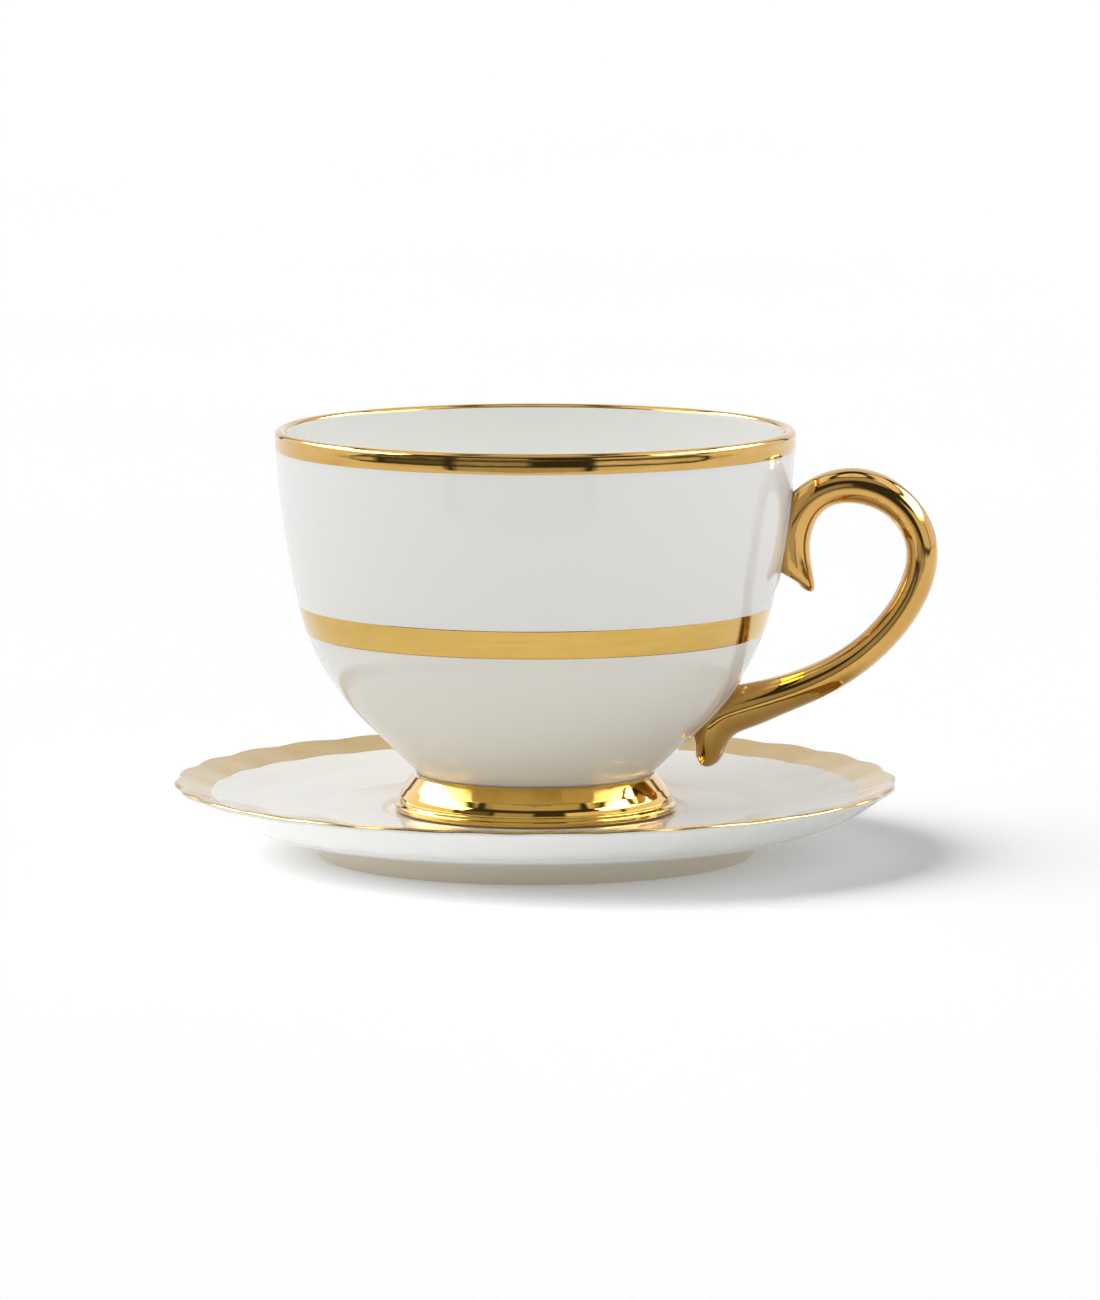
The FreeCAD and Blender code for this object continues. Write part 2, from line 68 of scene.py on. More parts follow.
def make_camera():
    """A long lens a metre and a half away, a little above the cup's rim, handle at the right."""
    back = Vector((math.sin(VIEW_AZIMUTH), -math.cos(VIEW_AZIMUTH), 0))
    right = Vector((math.cos(VIEW_AZIMUTH), math.sin(VIEW_AZIMUTH), 0))
    aim = right * AIM_RIGHT + Vector((0, 0, AIM_HEIGHT))
    place = right * AIM_RIGHT + back * VIEW_DISTANCE + Vector((0, 0, VIEW_HEIGHT))
    camera = bpy.data.objects.new("camera", bpy.data.cameras.new("camera"))
    camera.data.sensor_width = SENSOR_WIDTH
    camera.data.lens = LENS
    camera.data.clip_start = 0.05
    camera.data.clip_end = 100
    camera.location = place * MM
    camera.rotation_euler = (aim - place).to_track_quat("-Z", "Y").to_euler()
    scene.collection.objects.link(camera)
    scene.camera = camera


make_camera()

# ---------------------------------------------------------------- profiles in a radial plane


def arc(centre, radius, start, end, steps):
    """Points on an arc from one angle to another, in degrees."""
    angles = np.radians(np.linspace(start, end, steps + 1))
    return [(centre[0] + radius * math.cos(a), centre[1] + radius * math.sin(a)) for a in angles]


def angle_to(centre, point):
    return math.degrees(math.atan2(point[1] - centre[1], point[0] - centre[0]))


def arc_between(centre, start, end, steps):
    """The shorter arc about a centre between two points at the same distance from it."""
    a, b = angle_to(centre, start), angle_to(centre, end)
    b = a + (b - a + 180) % 360 - 180
    return arc(centre, math.dist(centre, start), a, b, steps)


def rounded(corners, steps=6):
    """A path through corners (r, z, radius), each one rounded by that radius where it isn't 0."""
    path = []
    for i, (r, z, radius) in enumerate(corners):
        here = np.array((r, z))
        if not radius or i in (0, len(corners) - 1):
            path.append((r, z))
            continue
        before = np.array(corners[i - 1][:2]) - here
        after = np.array(corners[i + 1][:2]) - here
        before /= np.linalg.norm(before)
        after /= np.linalg.norm(after)
        half = math.acos(np.clip(np.dot(before, after), -1, 1)) / 2
        middle = (before + after) / np.linalg.norm(before + after)
        centre = here + middle * radius / math.sin(half)
        reach = radius / math.tan(half)
        path += arc_between(centre, here + before * reach, here + after * reach, steps)
    return path


def evenly(path, longest=0.8):
    """The path with its longer runs divided, and points that coincide left out."""
    result = [path[0]]
    for point in path[1:]:
        gap = math.dist(result[-1], point)
        if gap < 1e-4:
            continue
        parts = max(1, math.ceil(gap / longest))
        start = np.array(result[-1])
        for k in range(1, parts + 1):
            result.append(tuple(start + (np.array(point) - start) * k / parts))
    return result


def normals(path):
    """Unit normals of an open path, on the right of the way it runs."""
    points = np.array(path)
    along = np.gradient(points, axis=0)
    along /= np.linalg.norm(along, axis=1)[:, None]
    return np.column_stack((along[:, 1], -along[:, 0]))


def film_loop(path, proud=0.05, sunk=0.05, fade=0.12):
    """A closed loop round a path: a film that stands proud of the clay, is sunk a little into it
    and thins out over a distance from each end of the path."""
    points, out = np.array(path), normals(path)
    lengths = np.concatenate(([0], np.cumsum(np.linalg.norm(np.diff(points, axis=0), axis=1))))
    from_end = np.minimum(lengths, lengths[-1] - lengths)
    edge = np.clip(from_end / fade, 0, 1)
    height = -sunk * 0.3 + (proud + sunk * 0.3) * np.sqrt(edge * (2 - edge))
    upper = points + out * height[:, None]
    lower = points - out * sunk
    return [tuple(p) for p in upper] + [tuple(p) for p in lower[::-1]]


# ---------------------------------------------------------------- meshes


def finish_mesh(name, vertices, faces, smooth_angle=40):
    """A smooth-shaded object from millimetre vertices, with its faces turned outwards."""
    mesh = bpy.data.meshes.new(name)
    mesh.from_pydata([tuple(c * MM for c in v) for v in vertices], [], faces)
    mesh.validate()
    grid = bmesh.new()
    grid.from_mesh(mesh)
    bmesh.ops.remove_doubles(grid, verts=grid.verts, dist=1e-8)
    bmesh.ops.recalc_face_normals(grid, faces=grid.faces)
    limit = math.radians(smooth_angle)
    for face in grid.faces:
        face.smooth = True
    for edge in grid.edges:
        edge.smooth = edge.calc_face_angle(0) < limit
    grid.to_mesh(mesh)
    grid.free()
    piece = bpy.data.objects.new(name, mesh)
    scene.collection.objects.link(piece)
    return piece


def skin(name, rings, **options):
    """Quads between closed rings of the same length. A ring of one point closes an end."""
    vertices, starts = [], []
    for ring in rings:
        starts.append(len(vertices))
        vertices += ring
    faces = []
    for k, (low, high) in enumerate(zip(rings, rings[1:])):
        a, b = starts[k], starts[k + 1]
        count = max(len(low), len(high))
        for i in range(count):
            j = (i + 1) % count
            if len(low) == 1:
                faces.append((a, b + i, b + j))
            elif len(high) == 1:
                faces.append((a + i, a + j, b))
            else:
                faces.append((a + i, a + j, b + j, b + i))
    return finish_mesh(name, vertices, faces, **options)


def lathe(name, path, base=0.0, closed=False, segments=256, warp=None):
    """A path turned about the axis and set on a base height. A closed path is joined up to a
    tube, and warp moves each point, given its r, z and angle."""
    angles = [TURN * i / segments for i in range(segments)]
    rings = []
    for r, z in path + ([path[0]] if closed else []):
        if r < 1e-6:
            rings.append([(0.0, 0.0, z + base)])
            continue
        ring = []
        for a in angles:
            rr, zz = warp(r, z, a) if warp else (r, z)
            ring.append((rr * math.cos(a), rr * math.sin(a), zz + base))
        rings.append(ring)
    return skin(name, rings)


# ---------------------------------------------------------------- the bowl's outline

BELLY_CENTRE = (0.0, 50.8)
BELLY_RADIUS = 46.8
FLANK_CENTRE = (-122.7, 79.2)
APART = math.dist(BELLY_CENTRE, FLANK_CENTRE)
FLANK_RADIUS = APART + BELLY_RADIUS
WALL = 2.1
LIP_Z = 72.65
FLOOR_Z = 11.4
FLOOR_FILLET = 16.0
WAIST = (22.9, 7.6)
WAIST_INSIDE = 18.0
WAIST_EDGE = 0.35
BOWL_FROM_Z = 9.5
SWELL_FROM_Z = 69.2
SWELL_RUN = 3.6
SWELL_HEIGHT = 0.13
RIM_GOLD_FROM_Z = 69.9
RIM_GOLD_TURN = 160
BAND_GOLD = (34.6, 40.1)


def flank_point(radius, z):
    return FLANK_CENTRE[0] + math.sqrt(radius**2 - (z - FLANK_CENTRE[1]) ** 2), z


def belly_point(radius, z):
    return math.sqrt(radius**2 - (z - BELLY_CENTRE[1]) ** 2), z


def shoulder(radius):
    """Where the belly sphere of that radius runs into the flank."""
    scale = radius / APART
    return (-FLANK_CENTRE[0] * scale, BELLY_CENTRE[1] + (BELLY_CENTRE[1] - FLANK_CENTRE[1]) * scale)


LIP_CENTRE = flank_point(FLANK_RADIUS - WALL / 2, LIP_Z)
LIP_ANGLE = angle_to(FLANK_CENTRE, LIP_CENTRE)
REACH = math.dist(BELLY_CENTRE, WAIST)
HIP_ANGLE = angle_to(BELLY_CENTRE, WAIST) + math.degrees(math.acos(BELLY_RADIUS / REACH))
HIP = arc(BELLY_CENTRE, BELLY_RADIUS, HIP_ANGLE, HIP_ANGLE, 1)[0]


def outer_path(low, high):
    """The bowl's outside between two heights, upwards."""
    top = shoulder(BELLY_RADIUS)[1]
    path = []
    if low < HIP[1]:
        share = (low - WAIST[1]) / (HIP[1] - WAIST[1])
        path.append((WAIST[0] + (HIP[0] - WAIST[0]) * share, low))
    if low < top:
        start = max(low, HIP[1])
        ends = belly_point(BELLY_RADIUS, start), belly_point(BELLY_RADIUS, min(high, top))
        path += arc_between(BELLY_CENTRE, *ends, max(6, int((ends[1][1] - start) * 1.5)))
    if high > top:
        ends = flank_point(FLANK_RADIUS, max(low, top)), flank_point(FLANK_RADIUS, high)
        path += arc_between(FLANK_CENTRE, *ends, max(6, int((high - ends[0][1]) * 3)))
    return evenly(path)


def swell(path):
    """The path with a slight swelling of the wall just below the lip, under the gold."""
    result = []
    for r, z in path:
        t = min(max((z - SWELL_FROM_Z) / SWELL_RUN, 0), 1)
        result.append((r + SWELL_HEIGHT * math.sin(math.pi * t) ** 2, z))
    return result


def lip_start():
    """The height at which the wall's outside runs into the lip."""
    return LIP_CENTRE[1] + (WALL / 2) * math.sin(math.radians(LIP_ANGLE))


def lip_path(turn=180):
    """Over the lip by a turn in degrees, from the outside to the inside."""
    return arc(LIP_CENTRE, WALL / 2, LIP_ANGLE, LIP_ANGLE + turn, 24)


def inner_path():
    """The bowl's inside, downwards from the lip."""
    radius = BELLY_RADIUS - WALL
    lip_end = lip_path()[-1]
    bend = shoulder(radius)
    drop = BELLY_CENTRE[1] - FLOOR_Z - FLOOR_FILLET
    reach = radius - FLOOR_FILLET
    fillet = (math.sqrt(reach**2 - drop**2), FLOOR_Z + FLOOR_FILLET)
    meet = (fillet[0] * radius / reach, BELLY_CENTRE[1] - drop * radius / reach)
    path = arc_between(FLANK_CENTRE, lip_end, bend, 40)
    path += arc_between(BELLY_CENTRE, bend, meet, 40)
    path += arc_between(fillet, meet, (fillet[0], FLOOR_Z), 24)
    return path


def make_bowl():
    outside = outer_path(BOWL_FROM_Z, lip_start())
    corner = rounded([(WAIST_INSIDE, WAIST[1], 0), (*WAIST, WAIST_EDGE), (*outside[0], 0)])
    path = [(0, WAIST[1]), *corner, *swell(outside), *lip_path(), *inner_path(), (0, FLOOR_Z)]
    return lathe("cup_bowl_porcelain", evenly(path), CUP_BASE)


def make_rim_gold():
    below = swell(evenly(outer_path(RIM_GOLD_FROM_Z, lip_start()), 0.15))
    path = evenly(below + lip_path(RIM_GOLD_TURN), 0.12)
    return lathe("rim_gold", film_loop(path), CUP_BASE, closed=True)


def make_band_gold():
    path = evenly(outer_path(*BAND_GOLD), 0.12)
    return lathe("body_band_gold", film_loop(path), CUP_BASE, closed=True)


# ---------------------------------------------------------------- pedestal foot

FOOT_TOP = WAIST[1] - 0.3
FOOT_STAND = (25.2, 0.0)
FOOT_OUTSIDE = [
    (26.3, 0.0, 0.3),
    (27.05, 0.4, 0.4),
    (27.1, 1.3, 0.45),
    (26.4, 1.9, 0.3),
    (26.45, 2.3, 1.0),
    (26.2, 3.2, 2.5),
    (25.3, 4.6, 4.0),
    (23.5, 6.9, 0.5),
    (23.0, FOOT_TOP, 0.3),
]


def foot_path():
    """The outside of the foot, upwards from the edge it stands on."""
    corners = [(*FOOT_STAND, 0), *FOOT_OUTSIDE, (21.5, FOOT_TOP, 0)]
    return evenly(rounded(corners, 8), 0.4)


def make_foot():
    corners = [(21.5, FOOT_TOP, 0), (19.4, FOOT_TOP, 0), (23.3, 0.25, 0.5), (*FOOT_STAND, 0)]
    inside = rounded(corners)
    return lathe("cup_foot_porcelain", evenly(foot_path() + inside[1:-1]), CUP_BASE, closed=True)


def make_foot_joint():
    """The slip seam, a soft hollow between the foot's top and the bowl."""
    corners = [
        (19.5, FOOT_TOP - 0.1, 0),
        (22.6, FOOT_TOP - 0.1, 0.1),
        (22.35, FOOT_TOP + 0.15, 0.2),
        (22.6, WAIST[1] + 0.1, 0.1),
        (19.5, WAIST[1] + 0.1, 0),
    ]
    return lathe("foot_slip", evenly(rounded(corners), 0.5), CUP_BASE, closed=True)


def make_foot_gold():
    """Gold on all of the foot's outside but the edge that it stands on and its top."""
    path = [(r, z) for r, z in foot_path() if r > 22.7 and (z > 0.2 or r > 26.2)]
    return lathe("foot_gold", film_loop(path), CUP_BASE, closed=True)


# ---------------------------------------------------------------- handle

# Sections from the handle's upper tip to the tip of its heel: distance from the axis, height,
# heading in degrees, half thickness in the handle's plane and half width across it.
HANDLE_SECTIONS = [
    (52.0, 43.0, 66.0, 1.3, 1.6),
    (51.6, 44.0, 70.0, 2.2, 2.6),
    (50.0, 45.9, 78.0, 3.55, 3.6),
    (49.25, 49.4, 90.0, 3.6, 4.0),
    (49.25, 53.5, 84.0, 3.7, 4.2),
    (51.15, 58.4, 65.0, 3.6, 4.3),
    (55.4, 61.9, 34.0, 3.35, 4.2),
    (61.9, 62.9, -6.0, 3.45, 4.1),
    (69.4, 59.6, -45.0, 3.25, 4.0),
    (73.9, 52.2, -82.0, 3.1, 4.0),
    (73.0, 44.0, -113.0, 3.05, 4.0),
    (68.6, 36.4, -129.0, 3.05, 4.0),
    (62.2, 30.1, -140.0, 3.15, 4.1),
    (54.8, 25.6, -151.0, 3.35, 4.2),
    (46.8, 22.4, -157.0, 3.7, 4.4),
    (39.7, 20.1, -146.0, 4.5, 4.6),
    (34.5, 17.0, -128.0, 4.4, 4.5),
    (33.3, 11.6, -114.0, 2.9, 3.7),
    (32.7, 9.6, -112.0, 1.9, 2.6),
    (32.5, 8.8, -110.0, 1.0, 1.5),
]
HANDLE_TIP = 0.35
HANDLE_BURIED = 0.9
HANDLE_TOP = 62.0


def natural_spline(knots, values, at):
    """A natural cubic spline through values at knots, read at other places."""
    gaps = np.diff(knots)
    count = len(knots)
    system = np.eye(count)
    right = np.zeros(count)
    for i in range(1, count - 1):
        system[i, i - 1 : i + 2] = gaps[i - 1], 2 * (gaps[i - 1] + gaps[i]), gaps[i]
        slopes = np.diff(values[i - 1 : i + 2]) / gaps[i - 1 : i + 1]
        right[i] = 6 * (slopes[1] - slopes[0])
    bends = np.linalg.solve(system, right)
    i = np.clip(np.searchsorted(knots, at) - 1, 0, count - 2)
    h, left, ahead = gaps[i], at - knots[i], knots[i + 1] - at
    return (
        (bends[i] * ahead**3 + bends[i + 1] * left**3) / (6 * h)
        + (values[i] / h - bends[i] * h / 6) * ahead
        + (values[i + 1] / h - bends[i + 1] * h / 6) * left
    )


def handle_rings(shrink=0.0, count=170, around=72):
    """Rings of the handle's surface from tip to tip, drawn in by a thickness. What would reach
    deeper into the bowl's wall than HANDLE_BURIED is kept at that depth."""
    wall_r, wall_z = np.array(outer_path(FOOT_TOP, HANDLE_TOP)).T
    table = np.array(HANDLE_SECTIONS)
    steps = np.linalg.norm(np.diff(table[:, :2], axis=0), axis=1)
    knots = np.concatenate(([0], np.cumsum(np.sqrt(steps))))
    at = np.linspace(knots[0], knots[-1], count)
    columns = [natural_spline(knots, table[:, c], at) for c in range(5)]
    angles = np.arange(around) * TURN / around
    rings = []
    for x, z, heading, thick, wide in zip(*columns):
        turn = math.radians(heading)
        across, up = -math.sin(turn), math.cos(turn)
        thick, wide = thick - shrink, wide - shrink
        ring = []
        for a in angles:
            s, w = thick * math.cos(a), wide * math.sin(a)
            out, rise = x + across * s, z + up * s
            deepest = np.interp(rise, wall_z, wall_r) - HANDLE_BURIED + shrink
            push = max(deepest / math.hypot(out, w), 1.0)
            ring.append((out * push, w * push, rise + CUP_BASE))
        rings.append(ring)
    first, last = np.mean(rings[0], axis=0), np.mean(rings[-1], axis=0)
    tips = []
    for middle, ring, beside in ((first, rings[0], rings[1]), (last, rings[-1], rings[-2])):
        out = middle - np.mean(beside, axis=0)
        tips.append(tuple(middle + out / np.linalg.norm(out) * (HANDLE_TIP - shrink)))
    return [[tips[0]], *rings, [tips[1]]]


def make_handle(name, shrink):
    return skin(name, handle_rings(shrink), smooth_angle=180)


PAD_STEPS = 40
PAD_HEIGHT = 0.45
PAD_SUNK = 0.06
PAD_SPREAD = 1.35
PAD_FLAT = 0.95
PAD_SQUARENESS = 2.6


def make_pad(name, centre_z, half_height, half_width):
    """A pad of slip on the bowl's wall, with a soft edge that runs out onto the glaze."""
    steps, spread = PAD_STEPS, PAD_SPREAD
    rows = []
    for i in range(steps + 1):
        v = spread * (2 * i / steps - 1)
        row = []
        for j in range(steps + 1):
            u = spread * (2 * j / steps - 1)
            reach = (abs(u) ** PAD_SQUARENESS + abs(v) ** PAD_SQUARENESS) ** (1 / PAD_SQUARENESS)
            fade = min(max((spread - reach) / (spread - PAD_FLAT), 0), 1)
            rise = PAD_HEIGHT * fade * fade * (3 - 2 * fade) - PAD_SUNK
            z = centre_z + v * half_height
            low, high = outer_path(z, z + 0.6)[:2]
            along = np.array(high) - np.array(low)
            along /= np.linalg.norm(along)
            r, zz = low[0] + along[1] * rise, low[1] - along[0] * rise
            angle = u * half_width / low[0]
            row.append((r * math.cos(angle), r * math.sin(angle), zz + CUP_BASE))
        rows.append(row)
    vertices = [p for row in rows for p in row]
    wide = steps + 1
    faces = [
        (i * wide + j, i * wide + j + 1, (i + 1) * wide + j + 1, (i + 1) * wide + j)
        for i in range(steps)
        for j in range(steps)
    ]
    back = len(vertices)
    for row in rows:
        vertices += [(x * 0.995, y, z) for x, y, z in row]
    faces += [tuple(back + k for k in reversed(face)) for face in faces]
    edge = [(0, j) for j in range(steps)] + [(i, steps) for i in range(steps)]
    edge += [(steps, j) for j in range(steps, 0, -1)] + [(i, 0) for i in range(steps, 0, -1)]
    loop = [i * wide + j for i, j in edge]
    for a, b in zip(loop, loop[1:] + loop[:1]):
        faces.append((a, back + a, back + b, b))
    return finish_mesh(name, vertices, faces)


# ---------------------------------------------------------------- saucer

SCALLOPS = 28
SAUCER_SEGMENTS = SCALLOPS * 24
SCALLOP_SOFTNESS = 0.5
SCALLOP_DEPTH = 0.6
SCALLOP_FROM = 56.0
SCALLOP_RUN = 13.0
FLUTE_DEPTH = 0.22
FLUTE_FROM = 50.0
FLUTE_RUN = 14.0
GOLD_START = 62.3
GOLD_UNDER_Z = 13.7


def lobe(angle):
    """0 in a notch, 1 on the crown of a scallop; one notch points at the handle."""
    u = abs(math.sin(angle * SCALLOPS / 2))
    soft = SCALLOP_SOFTNESS
    return (math.sqrt(u * u + soft * soft) - soft) / (math.sqrt(1 + soft * soft) - soft)


def flute(r, z, angle):
    """The scalloped edge and the flutes that run in from it and fade out towards the well."""
    fluted = min(max((r - FLUTE_FROM) / FLUTE_RUN, 0), 1)
    scalloped = min(max((r - SCALLOP_FROM) / SCALLOP_RUN, 0), 1)
    wave = lobe(angle) - 1
    rise = FLUTE_DEPTH * fluted**1.5 * (wave + 0.5)
    return r + SCALLOP_DEPTH * wave * scalloped**2, z + rise


# The saucer's outline in three runs of corners (r, z, rounding), from the middle of the well to the
# verge, round the edge, and beneath to the middle of the underside.
TOP_PROFILE = [
    (0, 8.4, 0),
    (28.6, 8.4, 1.0),
    (29.8, 8.9, 1.0),
    (42.0, 8.9, 12.0),
    (54.0, 10.3, 40.0),
    (GOLD_START, 12.15, 14.0),
    (68.9, 14.35, 0.5),
]
EDGE_PROFILE = [(69.6, 14.1, 0.4), (69.6, 13.45, 0.4), (68.9, 12.95, 0.5)]
UNDER_PROFILE = [
    (62.0, 8.5, 20.0),
    (55.0, 5.9, 25.0),
    (48.0, 4.65, 12.0),
    (43.8, 4.05, 0.4),
    (41.8, 0.15, 0.25),
    (40.8, 0.0, 0.6),
    (39.8, 0.15, 0.25),
    (38.0, 4.2, 1.2),
    (0, 4.4, 0),
]


def saucer_path():
    """The saucer's outline, from the middle of its well over the edge to the middle beneath."""
    return evenly(rounded(TOP_PROFILE + EDGE_PROFILE + UNDER_PROFILE, 10), 0.6)


def make_saucer():
    return lathe("saucer_porcelain", saucer_path(), segments=SAUCER_SEGMENTS, warp=flute)


def make_saucer_gold():
    """Gold from a ring on the slope, over the edge and a little way under it."""
    path = saucer_path()
    start = min(i for i, (r, _) in enumerate(path) if r > GOLD_START)
    under = max(i for i, (_, z) in enumerate(path) if z > GOLD_UNDER_Z)
    part = evenly(path[start : under + 1], 0.3)
    loop = film_loop(part[::-1], proud=0.03, fade=0.8)
    return lathe("saucer_rim_gold", loop, closed=True, segments=SAUCER_SEGMENTS, warp=flute)


# ---------------------------------------------------------------- materials


class Nodes:
    """A material's node tree with a Principled shader, and short ways to add to it."""

    def __init__(self, name):
        self.material = bpy.data.materials.new(name)
        self.material.use_nodes = True
        self.tree = self.material.node_tree
        self.shader = self.tree.nodes["Principled BSDF"]
        self.place = self.add("TexCoord").outputs["Object"]

    def add(self, kind, **settings):
        node = self.tree.nodes.new("ShaderNode" + kind)
        for key, value in settings.items():
            setattr(node, key, value)
        return node

    def link(self, output, socket):
        self.tree.links.new(output, socket)

    def set(self, **values):
        for key, value in values.items():
            self.shader.inputs[key.replace("_", " ")].default_value = value

    def round_axis(self, around, across):
        """Coordinates that change slowly round the axis and quickly across the way round."""
        split = self.add("SeparateXYZ")
        self.link(self.place, split.inputs[0])
        flat = self.add("CombineXYZ")
        self.link(split.outputs["X"], flat.inputs["X"])
        self.link(split.outputs["Y"], flat.inputs["Y"])
        outwards = self.add("VectorMath", operation="NORMALIZE")
        self.link(flat.outputs[0], outwards.inputs[0])
        slow = self.add("VectorMath", operation="SCALE")
        self.link(outwards.outputs[0], slow.inputs[0])
        slow.inputs["Scale"].default_value = around
        radius = self.add("VectorMath", operation="LENGTH")
        self.link(flat.outputs[0], radius.inputs[0])
        run = self.math("ADD", radius.outputs["Value"], split.outputs["Z"])
        rise = self.add("CombineXYZ")
        self.link(self.math("MULTIPLY", run, across), rise.inputs["Z"])
        joined = self.add("VectorMath", operation="ADD")
        self.link(slow.outputs[0], joined.inputs[0])
        self.link(rise.outputs[0], joined.inputs[1])
        return joined.outputs[0]

    def math(self, operation, a, b):
        node = self.add("Math", operation=operation)
        for socket, value in zip(node.inputs, (a, b)):
            if isinstance(value, (int, float)):
                socket.default_value = value
            else:
                self.link(value, socket)
        return node.outputs[0]

    def noise(self, vector, scale, detail=3.0, rough=0.5):
        node = self.add("TexNoise")
        node.inputs["Scale"].default_value = scale
        node.inputs["Detail"].default_value = detail
        node.inputs["Roughness"].default_value = rough
        self.link(vector, node.inputs["Vector"])
        return node.outputs["Fac"]

    def ramp(self, source, *stops):
        """Colours or greys at positions from 0 to 1."""
        node = self.add("ValToRGB")
        elements = node.color_ramp.elements
        while len(elements) < len(stops):
            elements.new(0.5)
        for element, (position, colour) in zip(elements, stops):
            element.position = position
            grey = (colour,) * 3 if isinstance(colour, (int, float)) else colour
            element.color = (*grey, 1)
        self.link(source, node.inputs["Fac"])
        return node.outputs["Color"]

    def remap(self, source, low, high, to_low, to_high):
        node = self.add("MapRange")
        limits = {"From Min": low, "From Max": high, "To Min": to_low, "To Max": to_high}
        for key, value in limits.items():
            node.inputs[key].default_value = value
        self.link(source, node.inputs["Value"])
        return node.outputs["Result"]

    def height(self):
        split = self.add("SeparateXYZ")
        self.link(self.place, split.inputs[0])
        return split.outputs["Z"]

    def bump(self, heights, distance):
        node = self.add("Bump")
        node.inputs["Strength"].default_value = 1.0
        node.inputs["Distance"].default_value = distance
        self.link(heights, node.inputs["Height"])
        self.link(node.outputs["Normal"], self.shader.inputs["Normal"])


def glaze(name, low_colour, high_colour, low_z, high_z):
    """Clear glaze over white clay, its colour running from a low colour to a high one with height,
    with the glaze's soft ripple. On the cup it is a little warmer low down; on the saucer the darker
    khaki low colour is painted shade on the foot ring, partly its own bare clay.
    """
    n = Nodes(name)
    tint = n.remap(n.height(), low_z * MM, high_z * MM, 0, 1)
    cloud = n.noise(n.place, 60, 2)
    tone = n.math("ADD", tint, n.math("MULTIPLY", n.math("SUBTRACT", cloud, 0.5), 0.12))
    n.link(n.ramp(tone, (0.0, low_colour), (1.0, high_colour)), n.shader.inputs["Base Color"])
    fine = n.noise(n.place, 900, 2)
    n.link(n.remap(fine, 0.3, 0.7, 0.05, 0.085), n.shader.inputs["Roughness"])
    ripple = n.math("ADD", n.noise(n.place, 55, 1), n.math("MULTIPLY", fine, 0.02))
    n.bump(ripple, 0.00018)
    n.set(IOR=1.5, Subsurface_Weight=0.12, Subsurface_Scale=0.002)
    n.shader.inputs["Subsurface Radius"].default_value = (1.0, 0.95, 0.85)
    return n.material


def gilding(name, deep, light, rough, clear=0.2, index=1.5, mottle=0.0, banded=True):
    """Burnished gold under a clear gloss. On a band it was laid on by a brush round the axis, so
    its tone runs in streaks, and elsewhere in clouds. mottle adds duller spots."""
    n = Nodes(name)
    clouds = n.noise(n.place, 130, 3)
    streaks = n.noise(n.round_axis(3.0, 900.0), 1.0, 4, 0.6) if banded else n.noise(n.place, 45, 2)
    tone = n.math("ADD", n.math("MULTIPLY", streaks, 0.55), n.math("MULTIPLY", clouds, 0.45))
    n.link(n.ramp(tone, (0.32, deep), (0.68, light)), n.shader.inputs["Base Color"])
    worn = n.remap(tone, 0.3, 0.7, rough * 0.75, rough * 1.3)
    if mottle:
        spots = n.noise(n.place, 420, 4, 0.65)
        worn = n.math("ADD", worn, n.math("MULTIPLY", n.remap(spots, 0.5, 0.75, 0, 1), mottle))
    n.link(worn, n.shader.inputs["Roughness"])
    n.bump(n.math("ADD", clouds, n.math("MULTIPLY", streaks, 0.12)), 0.00006)
    n.set(Metallic=1.0, Coat_Weight=clear, Coat_Roughness=0.03, Coat_IOR=index)
    return n.material


IVORY = (0.85, 0.85, 0.79)
WHITE = (0.86, 0.86, 0.845)
cup_glaze = glaze("cup_glaze", IVORY, WHITE, 20, 60)
# The saucer's low colour, khaki up to 3.2 mm and fading to white by 4.4 mm, is painted shade on the
# foot ring, partly the ring's bare clay tone.
saucer_glaze = glaze("saucer_glaze", (0.80, 0.72, 0.57), (0.85, 0.85, 0.825), 3.2, 4.4)
slip_glaze = glaze("slip_glaze", (0.83, 0.81, 0.76), (0.86, 0.85, 0.83), 20, 70)
rim_metal = gilding("rim_gold_metal", (0.60, 0.35, 0.08), (0.70, 0.44, 0.13), 0.06, clear=0.35)
band_metal = gilding("band_gold_metal", (0.62, 0.39, 0.09), (0.70, 0.46, 0.13), 0.1, mottle=0.05)
foot_metal = gilding(
    "foot_gold_metal", (0.74, 0.40, 0.02), (0.82, 0.48, 0.05), 0.04, clear=1.0, index=1.75
)
handle_metal = gilding(
    "handle_gold_metal", (0.56, 0.30, 0.04), (0.68, 0.39, 0.09), 0.07, clear=1.0, banded=False
)
saucer_metal = gilding("saucer_gold_metal", (0.52, 0.35, 0.12), (0.60, 0.42, 0.16), 0.18, clear=0.5)


def place_piece(piece, node, body, material):
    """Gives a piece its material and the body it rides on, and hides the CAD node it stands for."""
    piece.data.materials.append(material)
    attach(piece, body)
    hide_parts(node)


bowl = make_bowl()
place_piece(bowl, "cup_bowl", "cup", cup_glaze)
place_piece(make_rim_gold(), "rim_gilding", "cup", rim_metal)
place_piece(make_band_gold(), "body_band_gilding", "cup", band_metal)
foot = make_foot()
place_piece(foot, "cup_foot", "cup", cup_glaze)
place_piece(make_foot_joint(), "foot_joint", "cup", slip_glaze)
place_piece(make_foot_gold(), "foot_gilding", "cup", foot_metal)
place_piece(make_handle("handle_porcelain", 0.15), "handle_core", "cup", cup_glaze)
place_piece(make_handle("handle_gold", 0.0), "handle_gilding", "cup", handle_metal)
upper = make_pad("upper_handle_slip", 53.2, 8.2, 4.3)
place_piece(upper, "upper_handle_joint", "cup", slip_glaze)
lower = make_pad("lower_handle_slip", 19.2, 6.0, 5.0)
place_piece(lower, "lower_handle_joint", "cup", slip_glaze)
saucer, saucer_gold = make_saucer(), make_saucer_gold()
place_piece(saucer, "saucer_dish", "saucer", saucer_glaze)
place_piece(saucer_gold, "saucer_rim_gilding", "saucer", saucer_metal)

# ---------------------------------------------------------------- studio


TABLE_SIDE = 6000.0
TABLE_BACK = 6000.0
TABLE_SPLIT = -230.0
TABLE_FRONT = -1100.0
FLOOR_GLOW = 0.155


